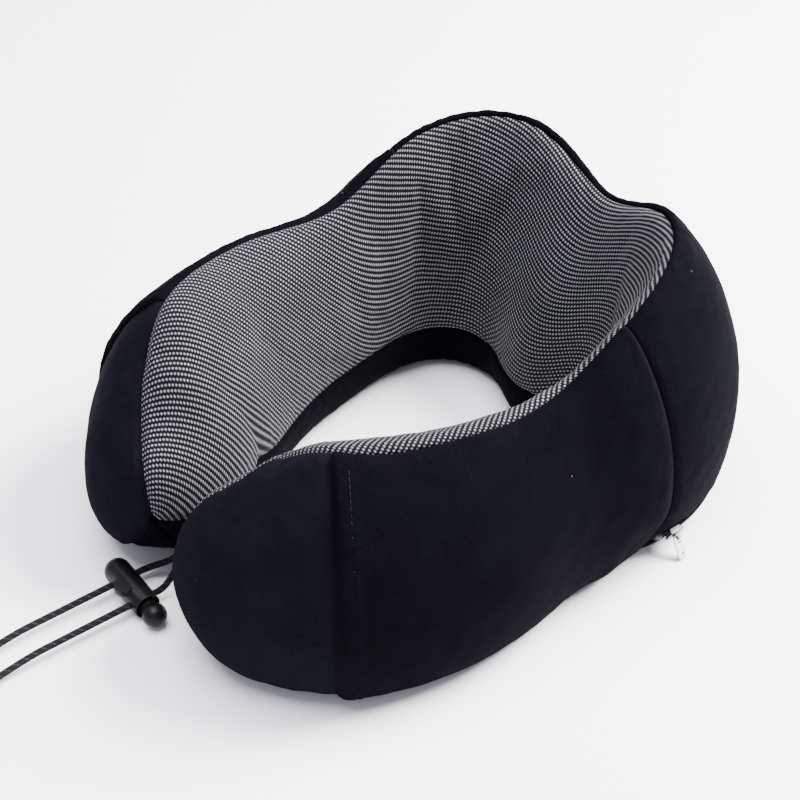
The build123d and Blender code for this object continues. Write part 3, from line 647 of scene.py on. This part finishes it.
def panel(name, stops, low, high, columns, material, lift=0.0, ends=(True, True), sides=(True, True),
          shape=None, pattern="plain", pucker=0.30, floor=0.0):
    """A sewn panel: its edges dip into the seams and turn in, with fullness and puckers beside them."""
    s = np.asarray(stops, float)
    low = np.broadcast_to(np.asarray(low, float), s.shape)
    high = np.broadcast_to(np.asarray(high, float), s.shape)
    w, across = even_places(s, low, high, columns)
    base = skin(s, w)
    normal = normals(s, w)
    share = np.linspace(0, 1, columns)[None]
    from_low, from_high = across[:, None] * share, across[:, None] * (1 - share)
    run = path_length(base[:, columns // 2])[:, None] / MM
    dip = np.zeros(w.shape)
    near = np.full(w.shape, np.inf)
    shallow = END_SEAM_SHARE + (1.0 - END_SEAM_SHARE) * fade(from_low, *END_SEAM_RUN)
    for used, d, deep in (
        (sides[0], from_low, 1.0), (sides[1], from_high, 1.0),
        (ends[0], run + 0 * w, shallow), (ends[1], run[-1] - run + 0 * w, shallow),
    ):
        if used:
            dip = np.maximum(dip, deep * np.exp(-((d / SEAM_WIDTH) ** 2)))
            near = np.minimum(near, d)
    rough = waves(base, PUCKER_GRAIN, 3) * np.exp(-near / PUCKER_REACH) * pucker
    rough = rough + waves(base, SWELL_GRAIN, 5) * SWELL_HEIGHT
    rough = rough + waves(base, RIPPLE_GRAIN, 9) * RIPPLE_HEIGHT
    height = lift + rough * MM * fade(near, 0.0, CALM_EDGE) - dip * SEAM_DEPTH
    if shape is not None:
        height = height + shape(run, from_low, from_high) * MM
    p = base + soft_move(s, w) + normal * height[..., None]
    p[..., 2] = np.maximum(p[..., 2], floor)
    if pattern == "knit":
        spot = np.stack([np.interp(s, PATTERN_S, PATTERN_PLACE[:, k]) for k in (0, 1)], -1)
        aim = np.stack([np.interp(s, PATTERN_S, PATTERN_ACROSS[:, k]) for k in (0, 1)], -1)
        cloth = spot[:, None] + aim[:, None] * from_high[..., None]
    else:
        cloth = np.stack([run + 0 * w, from_low], -1)

    def turned(edge_p, edge_n):
        q = edge_p - edge_n * FOLD
        q[..., 2] = np.maximum(q[..., 2], floor)
        return q

    for axis, (first, last) in ((1, sides), (0, ends)):
        for used, end in ((first, 0), (last, -1)):
            if used:
                rim = [np.take(v, [end], axis) for v in (p, normal, cloth)]
                rim[0] = turned(rim[0], rim[1])
                pairs = zip(rim, (p, normal, cloth))
                p, normal, cloth = (np.concatenate(pair if end == 0 else pair[::-1], axis) for pair in pairs)
    n, m = p.shape[:2]
    return make_mesh(name, p.reshape(-1, 3), quads(n, m), material, cloth.reshape(-1, 2))


def place(obj, body, slot, *nodes):
    """Puts a piece on its body, in place of CAD nodes where named; its slot is not used."""
    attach(obj, body)
    if nodes:
        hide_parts(*nodes)
    return obj


BEHIND_SHARE, BEHIND_FADE = 0.105, (60.0, 96.0)
LEFT_ARM_SHARE, LEFT_ARM_FADES = 0.03, ((60.0, 84.0), (110.0, 130.0))
LEFT_TIP_SHARE, LEFT_TIP_FADE = -0.045, (125.0, 165.0)
RIGHT_TIP_SHARE, RIGHT_TIP_FADE = 0.34, (120.0, 158.0)


def velour_share(s):
    """How far the velour runs over the ridge on to the neck side, as a share of that face."""
    behind = BEHIND_SHARE * (1.0 - fade(np.abs(s), *BEHIND_FADE))
    starts, ends = LEFT_ARM_FADES
    left_arm = LEFT_ARM_SHARE * fade(-s, *starts) * (1.0 - fade(-s, *ends))
    left_tip = LEFT_TIP_SHARE * fade(-s, *LEFT_TIP_FADE)
    right_tip = RIGHT_TIP_SHARE * fade(s, *RIGHT_TIP_FADE)
    return behind + left_tip + left_arm + right_tip


# Runs of s along the arms, each with the space between its points in mm.
full = even_stops(-TIP_END, TIP_END, 1.7)
back = even_stops(-BACK_SEAM, BACK_SEAM, 1.6)
right = even_stops(BACK_SEAM, TIP_END, 1.6)
left = -right[::-1]
tip_right = even_stops(TIP_ANGLE, TIP_END, 1.6)
tip_left = -tip_right[::-1]
middle_run = even_stops(-TIP_ANGLE, TIP_ANGLE, 2.2)

ridge_share = velour_share(full)
knit_panel = panel("knit_neck_panel", full, 4.0, 5.0 - ridge_share, 76, KNIT, pattern="knit", pucker=0.34)
place(knit_panel, "pillow", "knit", "neck_panel")

SLOT_FADE = (6.0, 10.0)
slot_open = fade(back, *SLOT_FADE)
back_edge = 1.0 + share_at_height(np.abs(back), ZIP_HEIGHT + slot_open * ZIP_OPENING / 2)
strip_edge = 1.0 + share_at_height(np.abs(back), ZIP_HEIGHT - slot_open * ZIP_OPENING / 2)
for node, piece in (
    ("inner_wall_panel", panel("lower_inner_wall", full, 3.0, 4.0, 30, VELOUR)),
    ("back_panel", panel("back_cover", back, -velour_share(back), back_edge, 90, VELOUR)),
    ("back_lower_strip", panel("back_lower_strip_cover", back, strip_edge, 2.0, 16, VELOUR, pucker=0.1)),
    ("base_panel",
     panel("underside_cover", middle_run, 2.0, 3.0, 36, VELOUR, ends=(False, False), pucker=0.05)),
):
    place(piece, "pillow", "velour", node)

for side, run, tip, tip_ends in (
    ("right", right, tip_right, (False, True)), ("left", left, tip_left, (True, False)),
):
    # The side covers use the lighter velour copy, which is painted light.
    cover = panel(f"side_cover_{side}", run, -velour_share(run), 2.0, 96, PAINTED_LIGHT_VELOUR)
    place(cover, "pillow", "velour", f"side_panel_{side}")
    under = panel(f"tip_underside_cover_{side}", tip, 2.0, 3.0, 30, VELOUR, ends=tip_ends)
    place(under, "pillow", "velour", f"tip_underside_{side}")

# ---------------------------------------------------------------- pockets
POCKET_LIFT = 1.9 * MM
POCKET_TOP_GAP, POCKET_LOW_EDGE = 0.004, 1.985
POCKET_FLOOR = 0.4 * MM
HEM_WIDTH = 10.0
HEM_STEP = (0.6, 1.0)            # the hem's inner edge fades over this, before and after it
HEM_PROUD, ROW_DEPTH, ROW_WIDTH = 0.65, 0.6, 0.8
SLACK_DEPTH, SLACK_PLACE, SLACK_WIDTH, SLACK_GRAIN = 0.5, 24.0, 7.0, 17.0
MOUTH_LIFT, MOUTH_REACH = 1.6, 9.0
ROLL_DEPTH, ROLL_REACH = 0.7, 1.0
SEAT_DEPTH, SEAT_REACH, REAR_REACH = 1.3, 3.0, 9.0
STITCH_INSET = 1.6               # the row of stitches lies this far from the hem's inner edge
STITCH_PITCH = 2.8
STITCH_PART = (0.14, 0.86)       # the part of each pitch that shows thread
STITCH_SPAN = (0.06, 1.9)        # from the ridge to the foot of the pocket
STITCH_LIFT, STITCH_ARCH = 0.38, 0.22
STITCH_R = 0.22 * MM
STITCH_FLOOR = 0.5 * MM


def pocket_shape(front_last):
    """Heights in mm added to a pocket: the doubled hem, its stitch row, slack and a lifted mouth."""
    def shape(run, from_low, from_high):
        to_hem = (run[-1] - run) if front_last else run
        band = 1.0 - fade(to_hem + 0 * from_low, HEM_WIDTH - HEM_STEP[0], HEM_WIDTH + HEM_STEP[1])
        dents = 0.75 + 0.25 * np.cos(from_low * 2 * math.pi / STITCH_PITCH)
        row = np.exp(-(((to_hem - HEM_WIDTH + STITCH_INSET) / ROW_WIDTH) ** 2)) * dents
        folds = 0.5 + 0.5 * np.cos(from_low / SLACK_GRAIN + 1.2)
        slack = np.exp(-((to_hem - SLACK_PLACE) / SLACK_WIDTH) ** 2) * folds
        up = np.clip(from_low / (from_low + from_high), 0, 1)
        mouth = np.exp(-to_hem / MOUTH_REACH) * np.sin(np.pi * up) ** 2
        rolled = np.exp(-((to_hem / ROLL_REACH) ** 2))
        seat = np.exp(-(from_low / SEAT_REACH) ** 2) + np.exp(-(from_high / SEAT_REACH) ** 2)
        back_end = (run if front_last else run[-1] - run) + 0 * from_low
        seat = np.maximum(seat, np.exp(-(back_end / REAR_REACH) ** 2))
        raised = HEM_PROUD * band + MOUTH_LIFT * mouth
        return raised - ROW_DEPTH * row - SLACK_DEPTH * slack - ROLL_DEPTH * rolled - SEAT_DEPTH * seat
    return shape


def pocket(name, stops, front_last):
    return panel(
        name, stops, POCKET_TOP_GAP - velour_share(stops), POCKET_LOW_EDGE, 118, VELOUR, POCKET_LIFT,
        shape=pocket_shape(front_last), pucker=0.22, floor=POCKET_FLOOR,
    )


pocket_run = even_stops(POCKET_REAR, POCKET_HEM, 1.15)
place(pocket("pocket_cover_right", pocket_run, True), "pillow", "velour", "pocket_right")
place(pocket("pocket_cover_left", -pocket_run[::-1], False), "pillow", "velour", "pocket_left")


def directions_across(path):
    """Two directions square to a path, at each of its points."""
    along = np.gradient(path, axis=0)
    along /= np.linalg.norm(along, axis=1, keepdims=True)
    level = np.cross(along, np.array([0.0, 0.0, 1.0]))
    level /= np.maximum(np.linalg.norm(level, axis=1, keepdims=True), 1e-9)
    return level, np.cross(level, along)


def tube(path, radius, sides):
    """Rings of points round a path."""
    level, rise = directions_across(path)
    angle = np.linspace(0, 2 * math.pi, sides, endpoint=False)[None, :, None]
    return path[:, None] + radius * (np.cos(angle) * level[:, None] + np.sin(angle) * rise[:, None])


def join_tubes(name, paths, radius, material, sides=6):
    """One mesh of round strands along several paths."""
    points, faces, cloth, count = [], [], [], 0
    for path in paths:
        ring = tube(path, radius, sides)
        n = len(ring)
        points.append(ring.reshape(-1, 3))
        faces.append(quads(n, sides, count, closed=True))
        length = path_length(path) / MM
        turn = np.arange(sides) * 2 * math.pi * radius / MM / sides
        cloth.append(np.stack(np.meshgrid(length, turn, indexing="ij"), -1).reshape(-1, 2))
        count += n * sides
    return make_mesh(name, np.concatenate(points), np.concatenate(faces), material, np.concatenate(cloth))


def hem_stitches(name, stops, front_last):
    """Short raised stitches along the pocket's hem."""
    run = path_length(skin(stops, np.full((len(stops), 1), 0.9))[:, 0]) / MM
    goal = run[-1] - HEM_WIDTH + STITCH_INSET if front_last else HEM_WIDTH - STITCH_INSET
    here = np.interp(goal, run, stops)
    fine, bends = 900, 7
    w, across = even_places(np.full(1, here), *(np.full(1, end) for end in STITCH_SPAN), fine)
    s, w = np.full(fine, here), w[0][:, None]
    base = (skin(s, w) + soft_move(s, w))[:, 0]
    out = normals(s, w)[:, 0]
    count = int(across[0] / STITCH_PITCH)
    lift = POCKET_LIFT + (STITCH_LIFT + STITCH_ARCH * np.sin(np.linspace(0, math.pi, bends))) * MM
    stitches = []
    for k in range(count):
        first, last = (int((k + part) / count * (fine - 1)) for part in STITCH_PART)
        places = np.linspace(first, last, bends).astype(int)
        stitch = base[places] + out[places] * lift[:, None]
        stitch[:, 2] = np.maximum(stitch[:, 2], STITCH_FLOOR)
        stitches.append(stitch)
    return join_tubes(name, stitches, STITCH_R, THREAD, 5)


place(hem_stitches("pocket_hem_stitches_right", pocket_run, True), "pillow", "velour")
place(hem_stitches("pocket_hem_stitches_left", -pocket_run[::-1], False), "pillow", "velour")

# ---------------------------------------------------------------- foam core, inside the cover
FOAM_INSET = 5.5 * MM
foam_s = SIM_S[4:-4:2]
foam_w = np.repeat(np.linspace(0, EDGES, 61)[:-1][None], len(foam_s), 0)
foam_points = skin(foam_s, foam_w) - normals(foam_s, foam_w) * FOAM_INSET
n, m = foam_points.shape[:2]
foam_faces = quads(n, m, closed=True).tolist() + end_caps(n, m)
foam_mesh = bpy.data.meshes.new("moulded_foam_core")
foam_mesh.from_pydata(foam_points.reshape(-1, 3).tolist(), [], foam_faces)
foam_mesh.materials.append(FOAM)
foam_obj = bpy.data.objects.new("moulded_foam_core", foam_mesh)
bpy.context.scene.collection.objects.link(foam_obj)
place(foam_obj, "pillow", "foam", "foam_core")

# ---------------------------------------------------------------- zip
TAPE_DEPTH, TAPE_THICKNESS = 1.9 * MM, 0.5 * MM
TAPE_HEIGHTS = {"lower": (4.0, 11.9), "upper": (12.1, 20.0)}
COIL_PITCH, COIL_WIRE, COIL_DEPTH = 1.25, 0.30 * MM, 0.95 * MM
COIL_HALF_HEIGHT, COIL_HALF_DEPTH = 0.72 * MM, 0.55 * MM
COIL_OFFSET = 0.95               # each row of the coil lies this far from the zip's line
STOP_HALF_HEIGHT, STOP_CROWN, STOP_SINK, STOP_GRID = 1.8, 1.4, 0.9, 14
tape_s = even_stops(ZIP_START, ZIP_END, 1.0)
chain_s = even_stops(*CHAIN_ANGLES, 0.6)


def tape(name, low, high, node):
    """A woven tape behind the slot, between two heights."""
    a = 1.0 + share_at_height(tape_s, high)
    b = 1.0 + share_at_height(tape_s, low)
    w, across = even_places(tape_s, a, b, 10)
    p = skin(tape_s, w) - normals(tape_s, w) * TAPE_DEPTH
    run = path_length(p[:, 5])[:, None] / MM
    cloth = np.stack([run + 0 * w, across[:, None] * np.linspace(0, 1, 10)[None]], -1)
    obj = make_mesh(name, p.reshape(-1, 3), quads(*w.shape), TAPE, cloth.reshape(-1, 2))
    solid = obj.modifiers.new("thickness", "SOLIDIFY")
    solid.thickness = TAPE_THICKNESS
    solid.offset = -1.0
    place(obj, "pillow", "zip_tape", node)


for which, heights in TAPE_HEIGHTS.items():
    tape(f"zip_tape_{which}_weave", *heights, f"zipper_tape_{which}")


def coil(name, way, node):
    """One row of nylon coil as a flattened helix along the tape's edge."""
    mid = share_at_height(chain_s, ZIP_HEIGHT + way * COIL_OFFSET)
    base = skin(chain_s, 1.0 + mid[:, None])[:, 0]
    out = normals(chain_s, 1.0 + mid[:, None])[:, 0]
    run = path_length(base) / MM
    turns = run[-1] / COIL_PITCH
    t = np.linspace(0, 1, int(turns * 14))
    along = np.interp(t * run[-1], run, np.arange(len(run)))
    i = np.clip(along.astype(int), 0, len(run) - 2)
    f = (along - i)[:, None]
    c = base[i] * (1 - f) + base[i + 1] * f
    o = out[i] * (1 - f) + out[i + 1] * f
    tangent = np.gradient(c, axis=0)
    tangent /= np.linalg.norm(tangent, axis=1, keepdims=True)
    up = np.cross(tangent, o)
    turn = 2 * math.pi * turns * t + (math.pi if way > 0 else 0.0)
    high, deep = COIL_HALF_HEIGHT * np.cos(turn), COIL_HALF_DEPTH * np.sin(turn) - COIL_DEPTH
    path = c + up * high[:, None] + o * deep[:, None]
    place(join_tubes(name, [path], COIL_WIRE, COIL, 6), "pillow", "zip_coil", node)


coil("zip_coil_lower_row", -1, "zipper_coil_lower")
coil("zip_coil_upper_row", 1, "zipper_coil_upper")


def stop_clip(name, angles, node):
    """A small crowned metal clip across both rows of the coil."""
    s = np.linspace(*angles, STOP_GRID)
    a = 1.0 + share_at_height(s, ZIP_HEIGHT + STOP_HALF_HEIGHT)
    b = 1.0 + share_at_height(s, ZIP_HEIGHT - STOP_HALF_HEIGHT)
    w, _ = even_places(s, a, b, STOP_GRID)
    v = np.linspace(-1, 1, STOP_GRID)
    crown = (1 - np.abs(v)[:, None] ** 4) * (1 - np.abs(v)[None] ** 4)
    p = skin(s, w) + normals(s, w) * ((crown * STOP_CROWN - STOP_SINK) * MM)[..., None]
    clip = make_mesh(name, p.reshape(-1, 3), quads(STOP_GRID, STOP_GRID), DARK_METAL)
    place(clip, "pillow", "zip_metal", node)


stop_clip("zip_stop_clip_closed", CLOSED_STOP_ANGLES, "zipper_stop_closed")
stop_clip("zip_stop_clip_open", OPEN_STOP_ANGLES, "zipper_stop_open")


# ---------------------------------------------------------------- drawcord
CORD_EXIT_LIFT = 1.8 * MM
LEFT_EXIT, RIGHT_EXIT = (-TIP_ANGLE - 52.0, 2.75), (TIP_ANGLE + 66.0, 3.1)     # as s and w
CORD_STEP = 0.42 * MM
STRANDS, LAY = 8, 9.0 * MM
FLECKS = (3, 7)                  # the light strands, among those laid the other way
BRAID_SINK, BRAID_WAVE = 0.36, 0.13
DARK_R, LIGHT_R, CORE_R = 0.40 * MM, 0.36 * MM, 1.0 * MM


def tip_exit(s, w):
    """Where the cord comes out of a tip."""
    s, w = np.array([s]), np.array([[w]])
    return (skin(s, w) + normals(s, w) * CORD_EXIT_LIFT)[0, 0]


def bend(a, ta, b, tb, count=60):
    """A smooth curve from a to b that leaves along ta and arrives along tb."""
    size = np.linalg.norm(b - a)
    ta, tb = (np.asarray(v, float) / np.linalg.norm(v) * size for v in (ta, tb))
    t = np.linspace(0, 1, count)[:, None]
    from_a = (2 * t**3 - 3 * t**2 + 1) * a + (t**3 - 2 * t**2 + t) * ta
    return from_a + (3 * t**2 - 2 * t**3) * b + (t**3 - t**2) * tb


def at(x, y, z):
    """A place in the drawing's mm, as metres from the mount."""
    return np.array([x, y - ORIGIN_Y, z]) * MM


ground = CORD_R + 0.05
near_y, far_y = LOCK_Y + 8.2, LOCK_Y - 48.0     # between these the cords run straight, for the lock
start, finish = tip_exit(*LEFT_EXIT), tip_exit(*RIGHT_EXIT)
middle_x, loop_r = (CORD_LEFT_X + CORD_RIGHT_X) / 2, (CORD_RIGHT_X - CORD_LEFT_X) / 2
pieces = [
    bend(start, (0.2, -1.0, -0.2), at(CORD_LEFT_X, near_y, LOCK_Z), (0, -1, 0)),
    np.linspace(at(CORD_LEFT_X, near_y, LOCK_Z), at(CORD_LEFT_X, far_y, LOCK_Z), 40),
    bend(at(CORD_LEFT_X, far_y, LOCK_Z), (0, -1, 0), at(CORD_LEFT_X, CORD_LOOP_Y, ground), (0, -1, 0)),
    np.array([
        at(middle_x + loop_r * math.cos(a), CORD_LOOP_Y + loop_r * math.sin(a), ground)
        for a in np.linspace(math.pi, 2 * math.pi, 40)
    ]),
    bend(at(CORD_RIGHT_X, CORD_LOOP_Y, ground), (0, 1, 0), at(CORD_RIGHT_X, far_y, LOCK_Z), (0, 1, 0)),
    np.linspace(at(CORD_RIGHT_X, far_y, LOCK_Z), at(CORD_RIGHT_X, near_y, LOCK_Z), 40),
    bend(at(CORD_RIGHT_X, near_y, LOCK_Z), (0, 1, 0), finish, (0.6, 0.8, 0.2)),
]
line = np.concatenate([p if i == 0 else p[1:] for i, p in enumerate(pieces)])
length = path_length(line)
count = int(length[-1] / CORD_STEP)
even = np.linspace(0, length[-1], count)
line = np.stack([np.interp(even, length, line[:, k]) for k in range(3)], -1)
line[:, 2] = np.maximum(line[:, 2], ground * MM)
side_a, side_b = directions_across(line)


def strands(way, chosen):
    """Paths of the chosen strands of the braid, laid one way or the other."""
    paths = []
    for k in chosen:
        turn = way * 2 * math.pi * even / LAY + 2 * math.pi * k / STRANDS
        over = np.cos(even / LAY * 2 * math.pi * STRANDS + (0 if way > 0 else math.pi) + k * math.pi)
        r = (CORD_R - BRAID_SINK + BRAID_WAVE * over) * MM
        paths.append(line + side_a * (np.cos(turn) * r)[:, None] + side_b * (np.sin(turn) * r)[:, None])
    return paths


plain = [k for k in range(STRANDS) if k not in FLECKS]
dark = join_tubes("drawcord_braid", strands(1, range(STRANDS)) + strands(-1, plain), DARK_R, CORD_DARK)
light = join_tubes("drawcord_fleck_strands", strands(-1, FLECKS), LIGHT_R, CORD_LIGHT)
core = join_tubes("drawcord_core", [line], CORE_R, CORD_DARK, 8)
place(dark, "pillow", "cord", "drawcord")
place(light, "pillow", "cord")
place(core, "pillow", "cord")


# ---------------------------------------------------------------- CAD pieces that stay
WELD_DISTANCE, SHARP_ANGLE = 0.00001, math.radians(40)


def finish_hard(node, material, bevel):
    """Material and small rounded edges for a CAD piece that is shown as it is."""
    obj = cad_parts[node]
    obj.data.materials.clear()
    obj.data.materials.append(material)
    weld = obj.modifiers.new("weld", "WELD")
    weld.merge_threshold = WELD_DISTANCE
    edge = obj.modifiers.new("bevel", "BEVEL")
    edge.width = bevel
    edge.segments = 2
    edge.limit_method = "ANGLE"
    edge.angle_limit = SHARP_ANGLE


finish_hard("zipper_slider", DARK_METAL, 0.00018)
finish_hard("zipper_pull", NICKEL, 0.00018)
finish_hard("cord_lock_body", LOCK, 0.00022)
finish_hard("cord_lock_plunger", LOCK, 0.00018)

# ---------------------------------------------------------------- the lock's spring
SPRING_WIRE, SPRING_TURNS, BUTTON_TRAVEL = 0.30 * MM, 3.5, 2.5 * MM
spring_low, spring_high = (np.array(corner, float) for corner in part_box("cord_lock_spring"))
spring_middle = (spring_low + spring_high) / 2
spring_length = spring_high[0] - spring_low[0]
spring_t = np.linspace(0, 1, 600)
spring_turn = 2 * math.pi * SPRING_TURNS * spring_t
spring_r = (spring_high[1] - spring_low[1]) / 2 - SPRING_WIRE
spring_path = np.stack([
    spring_low[0] + SPRING_WIRE + (spring_length - 2 * SPRING_WIRE) * spring_t,
    spring_middle[1] + spring_r * np.cos(spring_turn),
    spring_middle[2] + spring_r * np.sin(spring_turn),
], -1)
spring = join_tubes("lock_spring_wire", [spring_path], SPRING_WIRE, STEEL, 8)
place(spring, "lock", "spring_steel", "cord_lock_spring")
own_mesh(spring)

# ---------------------------------------------------------------- floor, light, camera
FLOOR_HALF = 4.0
LAMP_TARGET = Vector((0, -0.1, 0.04))


def floor_material():
    m = Nodes("pale_floor")
    tone = m.ramp(m.noise(m.position(), 3.0, 3.0), ((0.3, (0.925, 0.925, 0.965)), (0.7, (0.95, 0.95, 0.985))))
    return m.set(Base_Color=tone, Roughness=0.75, Specular_IOR_Level=0.15)


floor_mesh = bpy.data.meshes.new("floor")
corners = [(x * FLOOR_HALF, y * FLOOR_HALF, 0) for x, y in ((-1, -1), (1, -1), (1, 1), (-1, 1))]
floor_mesh.from_pydata(corners, [], [(0, 1, 2, 3)])
floor_mesh.materials.append(floor_material())
floor = bpy.data.objects.new("floor", floor_mesh)
bpy.context.scene.collection.objects.link(floor)


def lamp(name, where, size, power, colour):
    data = bpy.data.lights.new(name, "AREA")
    data.shape = "DISK"
    data.size = size
    data.energy = power
    data.color = colour
    obj = bpy.data.objects.new(name, data)
    bpy.context.scene.collection.objects.link(obj)
    obj.location = where
    obj.rotation_mode = "QUATERNION"
    obj.rotation_quaternion = (LAMP_TARGET - Vector(where)).to_track_quat("-Z", "Y")


lamp("key", (0.35, 0.82, 1.15), 0.8, 140.0, (1.0, 0.99, 0.98))
lamp("overhead", (-0.15, -0.25, 1.7), 1.5, 75.0, (0.97, 0.98, 1.0))
world = bpy.data.worlds.new("studio")
world.use_nodes = True
backdrop = world.node_tree.nodes["Background"]
backdrop.inputs["Color"].default_value = (0.88, 0.88, 1.0, 1.0)
backdrop.inputs["Strength"].default_value = 0.85
bpy.context.scene.world = world

AZIMUTH, ELEVATION, DISTANCE = math.radians(53.68), math.radians(41.61), 0.83722
TARGET = Vector((-0.01414, 0.0076 - ORIGIN_Y * MM, 0.04009))
LENS = 79.26
flat = math.cos(ELEVATION)
away = Vector((math.sin(AZIMUTH) * flat, -math.cos(AZIMUTH) * flat, math.sin(ELEVATION)))
camera_data = bpy.data.cameras.new("camera")
camera_data.lens = LENS
camera_data.sensor_width = 36.0
camera = bpy.data.objects.new("camera", camera_data)
bpy.context.scene.collection.objects.link(camera)
camera.location = TARGET + away * DISTANCE
camera.rotation_mode = "QUATERNION"
camera.rotation_quaternion = (-away).to_track_quat("-Z", "Y")
camera_data.clip_start, camera_data.clip_end = 0.05, 20.0
bpy.context.scene.camera = camera
